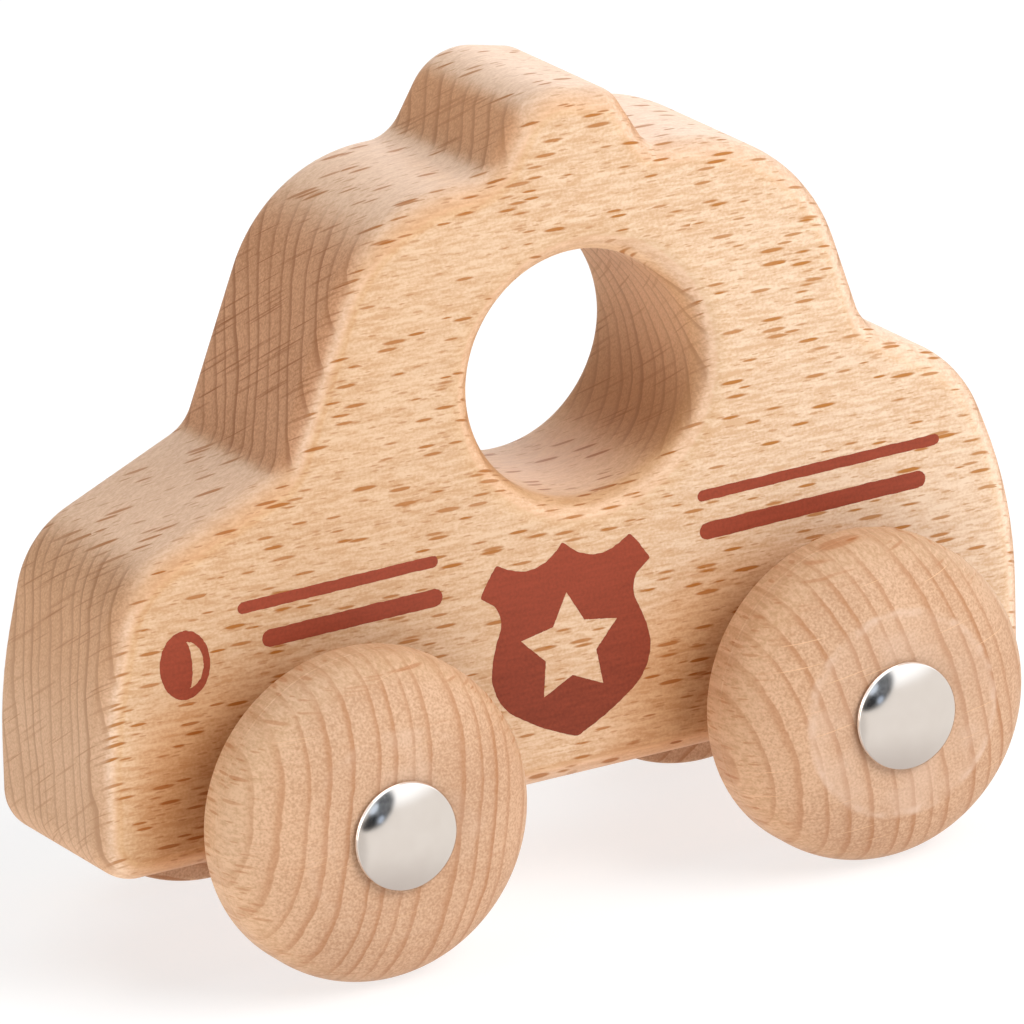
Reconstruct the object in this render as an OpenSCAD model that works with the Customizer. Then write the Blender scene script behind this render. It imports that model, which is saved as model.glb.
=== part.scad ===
// Wooden push-along police car: a routed beech block on four turned wheels.
// Millimetres. +Z is up, the nose points to -X and the car's left side to -Y.
// The origin lies on the ground, under the middle of the body block.

/* [Block] */
// Thickness of the beech block, side to side
body_width = 26; // [22:0.5:34]
// Wood under the axle line, down to the flat underside
belly_drop = 5; // [4:0.5:8]
// Round-over run along both outer edges of the block
edge_round = 3.2; // [1:0.1:3.4]

/* [Nose and hood] */
// Height of the near-upright lower nose above the underside
nose_rise = 17; // [14:0.5:20]
// How far the lower nose leans back
nose_lean = 0.9; // [0:0.1:2]
// Radius of the bend across the nose
nose_bend = 55; // [30:1:65]
// Radius of the corner under the nose
nose_foot_round = 5; // [3.6:0.1:8]
// Height of the hood's front corner above the underside
hood_front_rise = 32.8; // [30:0.2:35]
// How far the upper nose leans back
nose_top_run = 4.5; // [3:0.1:7]
// Radius of the hood's front corner
hood_front_round = 11.5; // [6:0.5:13]
// Length of the hood
hood_run = 19.6; // [16:0.2:24]
// Height of the hood's rear end above the underside
hood_rear_rise = 41; // [38:0.2:43]
// Radius of the hollow between hood and windscreen
hood_hollow = 4.8; // [2:0.1:8]

/* [Cabin] */
// Height of the roof above the underside
roof_rise = 67.7; // [64:0.2:72]
// Run of the sloping windscreen
windscreen_run = 11.9; // [8:0.1:15]
// Radius where the windscreen turns into the roof
roof_front_round = 18; // [10:0.5:19]
// Roof in front of the light
roof_front_run = 14.8; // [14.2:0.1:20]
// Roof behind the light
roof_rear_run = 17.6; // [16:0.1:22]
// Radius where the roof turns into the rear window
roof_rear_round = 20; // [10:0.5:21]
// Run of the steep rear window
rear_window_run = 6.7; // [4:0.1:9]

/* [Roof light] */
// Height of the light's front corner above the roof
light_front_rise = 9.1; // [7:0.1:11]
// Height of the light's rear corner above the roof
light_rear_rise = 6.9; // [5.5:0.1:9]
// Run of the light's sloping front
light_front_run = 6; // [3:0.1:8]
// Length of the light's top
light_top_run = 10; // [8:0.1:16]
// Run of the light's sloping back
light_rear_run = 3.8; // [2:0.1:6]
// Radius of the hollow in front of the light
light_front_hollow = 4.6; // [2:0.1:5]
// Radius of the light's front corner
light_front_round = 6.8; // [3.6:0.1:7.5]
// Radius of the light's rear corner
light_rear_round = 3.8; // [3.6:0.1:5]
// Radius of the hollow behind the light
light_rear_hollow = 2.4; // [1.5:0.1:4]

/* [Trunk and tail] */
// Height of the trunk's front end above the underside
trunk_front_rise = 43; // [40:0.2:45]
// Radius of the hollow between rear window and trunk
trunk_hollow = 5; // [2:0.1:6]
// Length of the trunk
trunk_run = 11.8; // [11:0.1:16]
// Height of the trunk's rear corner above the underside
trunk_rear_rise = 35.7; // [33:0.2:38]
// Radius of the trunk's rear corner
trunk_round = 15; // [8:0.5:16]
// Run of the sloping upper tail
tail_run = 5.4; // [4:0.1:8]
// Height of the near-upright lower tail above the underside
tail_rise = 19.8; // [17:0.2:22]
// Radius of the bend across the tail
tail_bend = 50; // [20:1:55]
// How far the lower tail tucks in
tail_tuck = 1; // [0:0.1:2]
// Radius of the corner under the tail
tail_foot_round = 3.8; // [3.6:0.1:8]

/* [Finger hole] */
// Diameter of the straight wall of the finger hole
hole_d = 27; // [20:0.5:30]
// Wood between the roof and the hole
hole_roof_web = 10; // [7:0.5:16]
// Hole centre behind the front axle
hole_set = 33.9; // [30:0.1:38]
// Round-over of the hole's two rims
hole_round = 3.2; // [1:0.1:4]

/* [Running gear] */
// Diameter of the steel axles
axle_d = 4; // [3:0.1:5]
// Front axle behind the foot of the nose
front_axle_set = 27.6; // [20:0.1:36]
// Distance between the axles
wheelbase = 60.2; // [50:0.1:70]
// Radial running clearance of axle and wheel bores
bore_clearance = 0.08; // [0.02:0.01:0.1]
// Axial play between the block and each wheel hub
hub_play = 0.3; // [0.2:0.05:0.6]
// Chamfer on the axle ends
axle_chamfer = 0.3; // [0.1:0.05:0.6]

/* [Wheels] */
// Diameter of the wheels
wheel_d = 36; // [30:0.5:42]
// Width of a wheel without its inner hub
wheel_width = 11.4; // [9.5:0.1:14]
// Width of the straight tread
tread_width = 2.5; // [1.5:0.1:3.5]
// Rounding of the wheel's inner edge
wheel_inner_round = 0.7; // [0.3:0.1:1.5]
// Diameter of the flat on the outer face
wheel_face_d = 16.4; // [14:0.2:20]
// Diameter of the hub turned on the inner face
hub_d = 15; // [10:0.5:20]
// Length of the hub on the inner face
hub_length = 4.7; // [3:0.1:6]
// Chamfer on the hub's end
hub_chamfer = 0.8; // [0.3:0.1:1.5]

/* [Axle caps] */
// Diameter of a domed cap
cap_d = 11.9; // [11:0.1:14]
// Height of a cap from its lip to the top of its dome
cap_height = 1.85; // [1.7:0.05:2.6]
// Height of the cap's upright rim
cap_rim = 0.45; // [0.4:0.05:0.6]
// Sheet thickness of the cap
cap_sheet = 0.3; // [0.2:0.02:0.34]
// Width of the lip rolled in under the retainer
cap_lip = 1.7; // [1.4:0.1:2]
// Play between the wheel's face and the cap
cap_play = 0.25; // [0.15:0.05:0.5]

/* [Retainers] */
// Sheet thickness of the spring retainer
retainer_sheet = 0.25; // [0.15:0.02:0.3]
// Width of the flat outer ring
retainer_ring = 1.3; // [0.9:0.1:1.6]
// Height that the tongues are raised by
tongue_rise = 0.4; // [0.2:0.05:0.5]
// Number of tongues that grip the axle
tongue_count = 6; // [4:1:8]
// Width of the slots between the tongues
tongue_slot = 0.8; // [0.4:0.1:1]
// How far the slots run into the ring, past the bend of the tongues
slot_run = 0.2; // [0.1:0.05:0.4]
// Gap left between tongue tips and axle
tongue_gap = 0.03; // [0.02:0.01:0.1]

/* [Hidden] */
$fn = 96;

// How far every cut runs past the wood
overrun = 1;
// Largest turn of one facet on the block's rounded corners, in degrees
corner_step = 7;
// Facets across the block's edge round-over
edge_steps = 5;
// Facets across a turned curve
turned_steps = 14;
// Share of the quarter turn that the hole's round-over makes before it runs out straight
rim_turn_share = 0.84;

half_width = body_width / 2;
wheel_r = wheel_d / 2;
axle_r = axle_d / 2;
bore_r = axle_r + bore_clearance;
cap_r = cap_d / 2;
belly = wheel_r - belly_drop;
roof = belly + roof_rise;
hole_r = hole_d / 2;

// Places along the car, measured back from the foot of the nose
hood_front = nose_lean + nose_top_run;
hood_rear = hood_front + hood_run;
roof_front = hood_rear + windscreen_run;
light_foot = roof_front + roof_front_run;
light_front = light_foot + light_front_run;
light_rear = light_front + light_top_run;
light_heel = light_rear + light_rear_run;
roof_rear = light_heel + roof_rear_run;
trunk_front = roof_rear + rear_window_run;
trunk_rear = trunk_front + trunk_run;
tail = trunk_rear + tail_run;

// Corners of the side outline, clockwise from the foot of the nose: place, height, radius
corners = [
    [0, belly, nose_foot_round],
    [nose_lean, belly + nose_rise, nose_bend],
    [hood_front, belly + hood_front_rise, hood_front_round],
    [hood_rear, belly + hood_rear_rise, hood_hollow],
    [roof_front, roof, roof_front_round],
    [light_foot, roof, light_front_hollow],
    [light_front, roof + light_front_rise, light_front_round],
    [light_rear, roof + light_rear_rise, light_rear_round],
    [light_heel, roof, light_rear_hollow],
    [roof_rear, roof, roof_rear_round],
    [trunk_front, belly + trunk_front_rise, trunk_hollow],
    [trunk_rear, belly + trunk_rear_rise, trunk_round],
    [tail, belly + tail_rise, tail_bend],
    [tail - tail_tuck, belly, tail_foot_round]
];

function spot(c) = [c[0], c[1]];
function unit(v) = v / norm(v);

// Points of the arc that rounds corner b between its neighbours, with the outline drawn in by inset
function corner_arc(a, b, c, inset) =
    let (
        back = unit(spot(a) - spot(b)),
        ahead = unit(spot(c) - spot(b)),
        half = acos(back * ahead) / 2,
        centre = spot(b) + unit(back + ahead) * b[2] / sin(half),
        turn = cross(back, ahead) > 0 ? -1 : 1,
        radius = b[2] + turn * inset,
        first = spot(b) + back * b[2] / tan(half) - centre,
        start = atan2(first[1], first[0]),
        sweep = 180 - 2 * half,
        steps = max(2, ceil(sweep / corner_step))
    )
    [for (k = [0:steps]) let (t = start + turn * sweep * k / steps) centre + radius * [cos(t), sin(t)]];

// The whole side outline, drawn in by inset
function outline(inset) =
    let (n = len(corners))
    [for (i = [0:n - 1]) each corner_arc(corners[(i + n - 1) % n], corners[i], corners[(i + 1) % n], inset)];

// The outline's middle is put over the origin
outline_places = [for (p = outline(0)) p[0]];
shift = -(min(outline_places) + max(outline_places)) / 2;
front_axle_x = shift + front_axle_set;
rear_axle_x = front_axle_x + wheelbase;
hole_x = front_axle_x + hole_set;
hole_z = roof - hole_roof_web - hole_r;

// Distances out from the car's middle plane
hub_end = half_width + hub_play;
wheel_back = hub_end + hub_length;
wheel_face = wheel_back + wheel_width;
cap_base = wheel_face + cap_play;

// The dome is a cap of a sphere that stands on the rim
dome_rise = cap_height - cap_rim;
dome_r = (cap_r * cap_r + dome_rise * dome_rise) / (2 * dome_rise);
dome_centre = cap_height - dome_r;
dome_inner_r = dome_r - cap_sheet;
ring_top = cap_sheet + retainer_sheet;
retainer_r = sqrt(dome_inner_r ^ 2 - (ring_top - dome_centre) ^ 2) - tongue_gap;
tongue_root = retainer_r - retainer_ring;
tongue_tip = axle_r + tongue_gap;
axle_end = cap_base + (dome_centre + sqrt(dome_inner_r ^ 2 - axle_r ^ 2)) - axle_chamfer / 2;

// One station of the block: how far out it lies and how far its outline is drawn in
function station(side, k) =
    let (f = 90 * k / edge_steps)
    [side * (half_width - edge_round + edge_round * sin(f)), edge_round * (1 - cos(f))];

stations = concat(
    [for (k = [edge_steps:-1:0]) station(-1, k)],
    [for (k = [0:edge_steps]) station(1, k)]
);

// The block: the outline carried across the width, drawn in along both edges
module block() {
    rings = [for (s = stations) [for (p = outline(s[1])) [p[0] + shift, s[0], p[1]]]];
    n = len(rings[0]);
    last = len(rings) - 1;
    points = concat([for (r = rings) each r], [[hole_x, -half_width, hole_z], [hole_x, half_width, hole_z]]);
    left_hub = n * (last + 1);
    right_hub = left_hub + 1;
    faces = concat(
        [for (i = [0:last - 1], j = [0:n - 1]) [i * n + j, (i + 1) * n + j, (i + 1) * n + (j + 1) % n]],
        [for (i = [0:last - 1], j = [0:n - 1]) [i * n + j, (i + 1) * n + (j + 1) % n, i * n + (j + 1) % n]],
        [for (j = [0:n - 1]) [left_hub, j, (j + 1) % n]],
        [for (j = [0:n - 1]) [right_hub, last * n + (j + 1) % n, last * n + j]]
    );
    polyhedron(points, faces);
}

// Round cutter for the finger hole, flared at both rims
module finger_hole() {
    f_end = 90 * rim_turn_share;
    rim_out = hole_r + hole_round * (1 - cos(f_end));
    rim_depth = hole_round * (1 - sin(f_end));
    reach = rim_depth + overrun;
    wall = half_width - hole_round;
    rim = concat(
        [for (k = [0:edge_steps]) let (f = f_end * k / edge_steps)
            [hole_r + hole_round * (1 - cos(f)), wall + hole_round * sin(f)]],
        [[rim_out + reach * tan(f_end), half_width + overrun]]
    );
    last = len(rim) - 1;
    mirrored = [for (k = [last:-1:0]) [rim[k][0], -rim[k][1]]];
    translate([hole_x, 0, hole_z])
        rotate([90, 0, 0])
            rotate_extrude()
                polygon(concat([[0, -half_width - overrun]], mirrored, rim, [[0, half_width + overrun]]));
}

module axle_bore(x) {
    translate([x, 0, wheel_r])
        rotate([90, 0, 0])
            cylinder(r = bore_r, h = body_width + 2 * overrun, center = true);
}

module body() {
    color([0.86, 0.68, 0.47])
        difference() {
            block();
            finger_hole();
            axle_bore(front_axle_x);
            axle_bore(rear_axle_x);
        }
}

// Turns a profile of [radius, distance out] about the axle line at x, on the left (-1) or right (1) side
module turned(x, side, profile) {
    translate([x, 0, wheel_r])
        rotate([side < 0 ? 90 : -90, 0, 0])
            rotate_extrude()
                polygon(profile);
}

module axle(x) {
    profile = [
        [0, -axle_end], [axle_r - axle_chamfer, -axle_end], [axle_r, -axle_end + axle_chamfer],
        [axle_r, axle_end - axle_chamfer], [axle_r - axle_chamfer, axle_end], [0, axle_end]
    ];
    color([0.75, 0.75, 0.77]) turned(x, 1, profile);
}

// A turned wheel: inner hub, eased inner edge, short tread and a full shoulder down to the flat face
module wheel(x, side) {
    face_r = wheel_face_d / 2;
    tread_start = wheel_back + wheel_inner_round;
    tread_end = tread_start + tread_width;
    inner_edge = [for (k = [0:turned_steps / 2]) let (t = 180 * k / turned_steps)
        [wheel_r - wheel_inner_round * (1 - sin(t)), tread_start - wheel_inner_round * cos(t)]];
    shoulder = [for (k = [0:turned_steps]) let (t = 90 * k / turned_steps)
        [face_r + (wheel_r - face_r) * cos(t), tread_end + (wheel_face - tread_end) * sin(t)]];
    hub = [
        [bore_r, hub_end], [hub_d / 2 - hub_chamfer, hub_end],
        [hub_d / 2, hub_end + hub_chamfer], [hub_d / 2, wheel_back]
    ];
    color([0.85, 0.67, 0.5]) turned(x, side, concat(hub, inner_edge, shoulder, [[bore_r, wheel_face]]));
}

// Points up the dome from its rim to its top, for a sphere of radius r
function dome_arc(r, rim_r) =
    let (spread = asin(rim_r / r))
    [for (k = [0:turned_steps]) let (t = spread * (1 - k / turned_steps))
        [r * sin(t), cap_base + dome_centre + r * cos(t)]];

function reversed(list) = [for (k = [len(list) - 1:-1:0]) list[k]];

// The largest radius inside the cap at which its dome clears the lip
cap_inner_r = min(cap_r - cap_sheet, sqrt(dome_inner_r ^ 2 - (cap_sheet - dome_centre) ^ 2));

module cap(x, side) {
    lip = [
        [cap_inner_r, cap_base + cap_sheet], [cap_r - cap_lip, cap_base + cap_sheet],
        [cap_r - cap_lip, cap_base], [cap_r, cap_base]
    ];
    inside = reversed(dome_arc(dome_inner_r, cap_inner_r));
    color([0.8, 0.8, 0.82]) turned(x, side, concat(lip, dome_arc(dome_r, cap_r), inside));
}

// A spring washer with a flat ring and raised tongues that bite the axle
module retainer(x, side) {
    low = cap_base + cap_sheet;
    high = low + retainer_sheet;
    profile = [
        [tongue_tip, low + tongue_rise], [tongue_root, low], [retainer_r, low],
        [retainer_r, high], [tongue_root, high], [tongue_tip, high + tongue_rise]
    ];
    slot_depth = retainer_sheet + tongue_rise + 2 * overrun;
    slot_length = tongue_root + slot_run;
    color([0.62, 0.62, 0.64])
        difference() {
            turned(x, side, profile);
            for (k = [0:tongue_count - 1])
                translate([x, side * (low - overrun + slot_depth / 2), wheel_r])
                    rotate([0, 360 * k / tongue_count, 0])
                        translate([slot_length / 2, 0, 0])
                            cube([slot_length, slot_depth, tongue_slot], center = true);
        }
}

body();
axle(front_axle_x);  // front_axle
axle(rear_axle_x);  // rear_axle
wheel(front_axle_x, -1);  // front_left_wheel
wheel(front_axle_x, 1);  // front_right_wheel
wheel(rear_axle_x, -1);  // rear_left_wheel
wheel(rear_axle_x, 1);  // rear_right_wheel
cap(front_axle_x, -1);  // front_left_cap
cap(front_axle_x, 1);  // front_right_cap
cap(rear_axle_x, -1);  // rear_left_cap
cap(rear_axle_x, 1);  // rear_right_cap
retainer(front_axle_x, -1);  // front_left_retainer
retainer(front_axle_x, 1);  // front_right_retainer
retainer(rear_axle_x, -1);  // rear_left_retainer
retainer(rear_axle_x, 1);  // rear_right_retainer
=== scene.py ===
# %% [markdown]
# # A wooden push-along police car
# The toy is one block of beech on four turned wheels, with plated caps on its axles and a brown print
# on its side. The solids come ready from the frame. This lesson gives them their finish, and swaps the
# block, the wheels and the caps for finer surfaces that follow the same sizes.

# %% Load the frame
import math

import bmesh
import bpy
import numpy as np
from mathutils import Matrix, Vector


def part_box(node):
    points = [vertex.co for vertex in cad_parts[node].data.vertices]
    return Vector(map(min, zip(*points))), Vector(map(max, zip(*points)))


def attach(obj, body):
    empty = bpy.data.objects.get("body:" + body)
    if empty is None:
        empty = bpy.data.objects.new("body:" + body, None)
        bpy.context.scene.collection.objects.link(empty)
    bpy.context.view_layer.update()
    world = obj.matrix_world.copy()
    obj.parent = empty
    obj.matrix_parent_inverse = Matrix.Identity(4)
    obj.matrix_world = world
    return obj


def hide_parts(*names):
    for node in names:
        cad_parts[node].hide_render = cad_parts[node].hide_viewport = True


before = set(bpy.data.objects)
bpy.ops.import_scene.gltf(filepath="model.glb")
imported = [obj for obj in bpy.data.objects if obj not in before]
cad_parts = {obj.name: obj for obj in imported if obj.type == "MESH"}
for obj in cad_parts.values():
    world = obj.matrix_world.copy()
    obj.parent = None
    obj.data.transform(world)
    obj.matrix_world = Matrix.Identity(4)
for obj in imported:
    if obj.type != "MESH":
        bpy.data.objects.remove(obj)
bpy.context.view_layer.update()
MM = 0.001
scene = bpy.context.scene
scene.view_settings.view_transform = "Standard"

# %% [markdown]
# The photograph was taken with a long lens from the front left, a little above the roof and slightly
# tilted. The camera could be set by eye. Here it is built from its turn, rise and roll about a point
# inside the car, so that each value can be changed alone. The lens follows from the distance and from
# the size of a millimetre in the picture.

# %% Camera
view_turn = math.radians(26.45)
view_rise = math.radians(17.83)
view_roll = math.radians(4.32)
view_distance = 1523 * MM
view_target = np.array([1.29, 0, 39.8]) * MM
picture_width = 1024
pixels_per_mm = 9.345

back = np.array([-math.sin(view_turn) * math.cos(view_rise),
                 -math.cos(view_turn) * math.cos(view_rise),
                 math.sin(view_rise)])
level = np.array([math.cos(view_turn), -math.sin(view_turn), 0])
upright = np.cross(back, level)
right = math.cos(view_roll) * level - math.sin(view_roll) * upright
up = math.sin(view_roll) * level + math.cos(view_roll) * upright

camera = bpy.data.objects.new("camera", bpy.data.cameras.new("camera"))
scene.collection.objects.link(camera)
scene.camera = camera
place = np.eye(4)
place[:3, :] = np.stack([right, up, back, view_target + view_distance * back], axis=1)
camera.matrix_world = Matrix(place.tolist())
camera.data.lens = camera.data.sensor_width * pixels_per_mm * view_distance / MM / picture_width
print("lens", round(camera.data.lens, 1), "mm")

# %% [markdown]
# Nodes could be added and linked one by one, but shader maths reads best as Python. So one small class
# wraps a node's socket. Its operators add Math nodes, and one method adds every other kind of node,
# with its settings first and its sockets after them.

# %% Shader maths
class Wire:
    """An output socket. Sums of wires and numbers add Math nodes to the wire's own tree."""

    def __init__(self, socket):
        self.socket = socket
        self.tree = socket.id_data

    @staticmethod
    def node(tree, kind, settings=None, sockets=None, output=0):
        """Adds a node: its settings are set first, then each socket takes a value or a link."""
        made = tree.nodes.new(kind)
        for key, value in (settings or {}).items():
            setattr(made, key, value)
        for key, value in (sockets or {}).items():
            if isinstance(value, Wire):
                tree.links.new(value.socket, made.inputs[key])
            else:
                made.inputs[key].default_value = value
        return Wire(made.outputs[output])

    def math(self, operation, *terms):
        return Wire.node(self.tree, "ShaderNodeMath", {"operation": operation}, dict(enumerate(terms)))

    def __add__(self, other):
        return self.math("ADD", self, other)

    def __sub__(self, other):
        return self.math("SUBTRACT", self, other)

    def __rsub__(self, other):
        return self.math("SUBTRACT", other, self)

    def __mul__(self, other):
        return self.math("MULTIPLY", self, other)

    def __truediv__(self, other):
        return self.math("DIVIDE", self, other)

    def __pow__(self, other):
        return self.math("POWER", self, other)

    def __abs__(self):
        return self.math("ABSOLUTE", self)

    __radd__ = __add__
    __rmul__ = __mul__

    def clamped(self):
        """Keeps the value between 0 and 1."""
        self.socket.node.use_clamp = True
        return self

    def step(self, low, high):
        """Rises smoothly from 0 at low to 1 at high, or falls where low is the larger."""
        sockets = {"Value": self, "From Min": low, "From Max": high}
        return Wire.node(self.tree, "ShaderNodeMapRange", {"interpolation_type": "SMOOTHSTEP"}, sockets)

    def mix(self, first, second):
        """Blends two colours by this wire."""
        sockets = {0: self, 6: first, 7: second}
        return Wire.node(self.tree, "ShaderNodeMix", {"data_type": "RGBA"}, sockets, output=2)

    def part(self, output):
        """Another output of the node that this wire comes from."""
        return Wire(self.socket.node.outputs[output])


def rgb(red, green, blue):
    return (red, green, blue, 1.0)


def split(vector):
    """The three parts of a vector or a colour."""
    first = Wire.node(vector.tree, "ShaderNodeSeparateXYZ", {}, {0: vector})
    return first, first.part(1), first.part(2)


def moved(place, shift=(0, 0, 0), turn=(0, 0, 0)):
    """Coordinates turned and then shifted."""
    sockets = {"Vector": place, "Rotation": turn, "Location": shift}
    return Wire.node(place.tree, "ShaderNodeMapping", {}, sockets)


def stretched(place, scale, turn=(0, 0, 0), shift=(0, 0, 0)):
    """Coordinates turned, shifted and then multiplied along each axis."""
    sockets = {0: moved(place, shift, turn), 1: scale}
    return Wire.node(place.tree, "ShaderNodeVectorMath", {"operation": "MULTIPLY"}, sockets)


def noise(place, detail=2.0, rough=0.5, distortion=0.0):
    """Soft noise about 0, roughly between -0.5 and 0.5."""
    sockets = {"Vector": place, "Scale": 1.0, "Detail": detail, "Roughness": rough}
    return Wire.node(place.tree, "ShaderNodeTexNoise", {}, {**sockets, "Distortion": distortion}) - 0.5


def new_material(name):
    """A material with its shader and the object's own coordinates in millimetres."""
    material = bpy.data.materials.new(name)
    material.use_nodes = True
    tree = material.node_tree
    shader = tree.nodes["Principled BSDF"]
    place = Wire.node(tree, "ShaderNodeTexCoord", output="Object")
    place = Wire.node(tree, "ShaderNodeVectorMath", {"operation": "SCALE"}, {0: place, "Scale": 1 / MM})
    return material, shader, place


def bumped(height, strength, depth):
    """A surface direction that follows a height, whose full rise is a depth in millimetres."""
    sockets = {"Height": height, "Strength": strength, "Distance": depth * MM}
    return Wire.node(height.tree, "ShaderNodeBump", {}, sockets)


def connect(shader, **sockets):
    """Feeds a shader's sockets, named with underscores for spaces, with links or with plain values."""
    for key, value in sockets.items():
        target = shader.inputs[key.replace("_", " ")]
        if isinstance(value, Wire):
            value.tree.links.new(value.socket, target)
        else:
            target.default_value = value


print("shader maths ready")

# %% [markdown]
# Beech is made of growth rings and of rays that cross them. On a face cut along the fibre the rays show
# as short brown dashes, and on end grain as thin slanting lines between the rings. A flat picture of
# wood would break at every edge. So the wood is worked out in space, in millimetres, along its own
# three directions: the fibre, the rings and the rays.

# %% Rings and rays
def unit(vector):
    """The vector with a length of 1."""
    return vector / np.linalg.norm(vector)


def grain_turn(fibre, radial):
    """The turn that lays the fibre along X and the rays along Z."""
    fibre = unit(np.array(fibre))
    radial = unit(np.array(radial) - np.dot(radial, fibre) * fibre)
    rows = [fibre, np.cross(radial, fibre), radial]
    return Matrix(np.array(rows).tolist()).to_euler("XYZ")


def growth_rings(grain, spacing, pith, wave):
    """Darkness of the late wood: along the waved distance from the pith, slow rises to sharp lines."""
    _, across, depth = split(grain)
    aside, below = across - pith[0], depth - pith[1]
    reach = (aside * aside + below * below) ** 0.5
    uneven = Wire.node(grain.tree, "ShaderNodeTexNoise", {"noise_dimensions": "1D"},
                       {"W": reach, "Scale": 0.4 / spacing, "Detail": 1.0}) * 0.9
    bend = noise(stretched(grain, (0.02, 0.09, 0.09)), 1.0) * wave
    ripple = noise(stretched(grain, (0.06, 0.7, 0.7)), 1.0) * 0.3
    count = (reach + bend + ripple) / spacing + uneven
    year = Wire.node(grain.tree, "ShaderNodeTexWhiteNoise", {"noise_dimensions": "1D"},
                     {"W": count.math("FLOOR", count)})
    rise = count.math("FRACT", count)
    line = (0.4 * rise * rise + 0.6 * rise.step(0.66, 0.88)) * rise.step(1.0, 0.95)
    return line * (0.6 + 0.4 * year)


def rays(grain, half_sizes, share, shift):
    """Lens-shaped ribbons: an ellipsoid about each Voronoi point, in space stretched to its half sizes.

    The half sizes lie along the fibre, across it and along the ray. Each is a share of a Voronoi cell.
    """
    cells = [share / half for half in half_sizes]
    spots = Wire.node(grain.tree, "ShaderNodeTexVoronoi", {"feature": "F1"},
                      {"Vector": stretched(grain, cells, shift=shift), "Scale": 1.0})
    chance, strength, _ = split(spots.part("Color"))
    reach = spots / (share * (0.55 + 0.6 * chance))
    return reach.step(1.0, 0.6) * (0.75 + 0.25 * strength)


print("rings and rays ready")

# %% [markdown]
# A block of beech looks different on each cut. Its side is pale and yellow, its ends are brown with
# rings, and the rounded edge between them is pale and slightly pink. Masks could be painted for these
# cuts. The material tells them apart by the direction of the surface instead, so it fits any shape that
# is cut from the wood.

# %% Beech
def beech(name, centre, fibre, radial, pith, spacing, wave, tones, marks):
    """Oiled beech: tones holds the colours of its cuts, rings and rays, and marks lays more on top."""
    material, shader, place = new_material(name)
    turn = grain_turn(fibre, radial)
    centred = moved(place, [-value for value in centre])
    grain = moved(centred, turn=turn)
    outward = Wire.node(place.tree, "ShaderNodeTexCoord", output="Normal")
    along = split(moved(outward, turn=turn))[0]
    end = abs(along).step(0.48, 0.8)

    streak = noise(stretched(grain, (0.06, 1.0, 1.0)), 3.0, 0.6)
    strokes = noise(stretched(grain, (0.36, 2.2, 2.2)), 2.0, 0.6, 0.4)
    cloud = noise(stretched(grain, (0.03, 0.1, 0.1)), 1.0)
    speck = noise(stretched(grain, (3.0, 3.6, 3.6)), 1.0)
    rings = growth_rings(grain, spacing, pith, wave)
    dashes = rays(grain, (1.65, 0.22, 5.5), 0.33, (3, 0, 0))
    flecks = rays(grain, (0.7, 0.12, 2.5), 0.27, (0, 40, 9))
    hairs = rays(grain, (3.0, 0.12, 4.5), 0.27, (5, 13, 0))
    hatch = rays(grain, (2.0, 0.07, 1.3), 0.3, (0, 7, 21))

    face_mix = (0.5 + 2.8 * strokes + 0.4 * streak + 0.6 * cloud + 1.4 * speck).clamped()
    end_mix = (0.5 + 2.4 * speck + 0.8 * cloud + 0.8 * strokes).clamped()
    face = face_mix.mix(tones["face_dark"], tones["face_pale"])
    wood = end.mix(face_mix.mix(tones["slope_dark"], tones["slope_pale"]),
                   end_mix.mix(tones["end_dark"], tones["end_pale"]))
    flat = abs(split(outward)[1]) + 0.07 * strokes + 0.08 * speck
    wood = flat.step(tones["face_from"] - 0.06, tones["face_from"]).mix(wood, face)
    wood = (rings * (tones["ring_face"] + tones["ring_end"] * end)).mix(wood, tones["ring"])
    ray_mark = (dashes * (tones["dash_face"] - tones["dash_loss"] * end) + flecks * (0.5 - 0.4 * end)
                + (hairs + 0.35 * hatch) * (tones["hair_face"] + tones["hair_end"] * end)).clamped()
    wood = ray_mark.mix(wood, end.mix(tones["ray"], tones["ray_end"]))
    wood = marks(centred, outward, wood, end)

    rough = 0.52 + 0.16 * end + 0.2 * strokes + 0.1 * ray_mark
    height = 0.7 * strokes + 0.4 * speck
    connect(shader, Base_Color=wood, Roughness=rough, Normal=bumped(height, 0.3, 0.03))
    connect(shader, Specular_IOR_Level=0.35, Coat_Weight=0.2, Coat_Roughness=0.4)
    return material


print("beech ready")

# %% [markdown]
# Most of this block's slow changes are painted light and shade. It is paler towards the tail, a painted
# sheen, and paler at the foot of the nose, painted light from the floor. Its upper edges are olive and its
# windscreen browner, painted shade, the finger hole has painted shade too, and the side is more orange
# round the lower front of each wheel, a painted shadow. They could be painted on a picture of the block.
# Here they are tints by place, laid over the wood's own colours, so they need no seams.

# %% The block's wood
axle_x = {name: sum(corner[0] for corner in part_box(name + "_axle")) / 2 / MM for name in ("front", "rear")}


def tinted(wood, share, tint):
    """Multiplies a colour by a share of a tint."""
    settings = {"data_type": "RGBA", "blend_type": "MULTIPLY"}
    return Wire.node(wood.tree, "ShaderNodeMix", settings, {0: share, 6: wood, 7: tint}, output=2)


hole_centre = np.array([5.094, 57.2])
hole_r = 13.5
plain_end = rgb(0.6, 0.335, 0.185)
plain_wall = rgb(0.55, 0.335, 0.21)


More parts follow.
